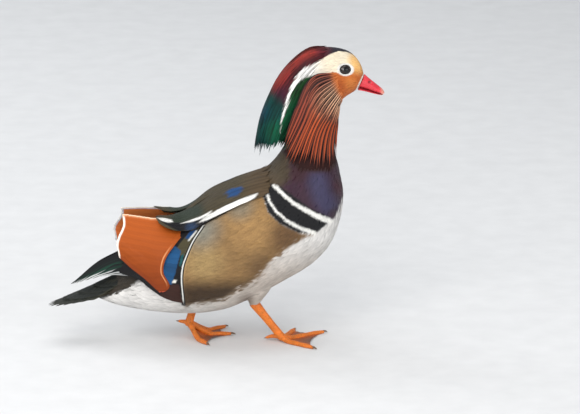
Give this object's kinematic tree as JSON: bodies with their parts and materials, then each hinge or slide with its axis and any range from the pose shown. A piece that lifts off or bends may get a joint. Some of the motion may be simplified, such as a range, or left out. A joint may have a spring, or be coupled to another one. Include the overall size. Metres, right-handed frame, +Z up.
{
  "type": "mandarin duck drake, still life-size model",
  "caption": "Standing mandarin drake with a swept-back crest, a fan of pointed cheek feathers, upright sail feathers over the wings and webbed feet, caught in mid-stride.",
  "frame": {"origin": "on the floor, under the middle of the bird's bounding box, in its plane of symmetry", "axes": "+X towards the bill, +Y to the bird's left, +Z up; the floor is the plane z = 0"},
  "size_m": [0.3349, 0.1216, 0.2984],
  "materials": {
    "body_plumage": "soft matt feathers",
    "neck_plumage": "soft matt feathers with a sheen",
    "face_plumage": "fine matt feathers",
    "crest_plumage": "silky feathers with a metallic sheen",
    "shoulder_plumage": "smooth feathers with a sheen",
    "wing_plumage": "smooth feathers with a blue and green sheen",
    "sail_plumage": "smooth orange feather with a white rim",
    "tail_plumage": "smooth dark feathers",
    "leg_plumage": "short soft feathers",
    "bill": "smooth horn with a soft gloss",
    "leg_skin": "scaled leg skin, slightly glossy",
    "eye": "wet gloss"
  },
  "bodies": {
    "root": {"torso": "body_plumage", "neck": "neck_plumage", "head": "face_plumage", "crest": "crest_plumage", "bill_upper": "bill", "bill_lower": "bill", "eye_left": "eye", "eye_right": "eye", "scapulars_left": "shoulder_plumage", "scapulars_right": "shoulder_plumage", "wing_left": "wing_plumage", "wing_right": "wing_plumage", "sail_left": "sail_plumage", "sail_right": "sail_plumage", "tail": "tail_plumage", "thigh_right": "leg_plumage", "shank_left": "leg_skin", "shank_right": "leg_skin", "foot_left": "leg_skin", "foot_right": "leg_skin"}
  },
  "joints": []
}
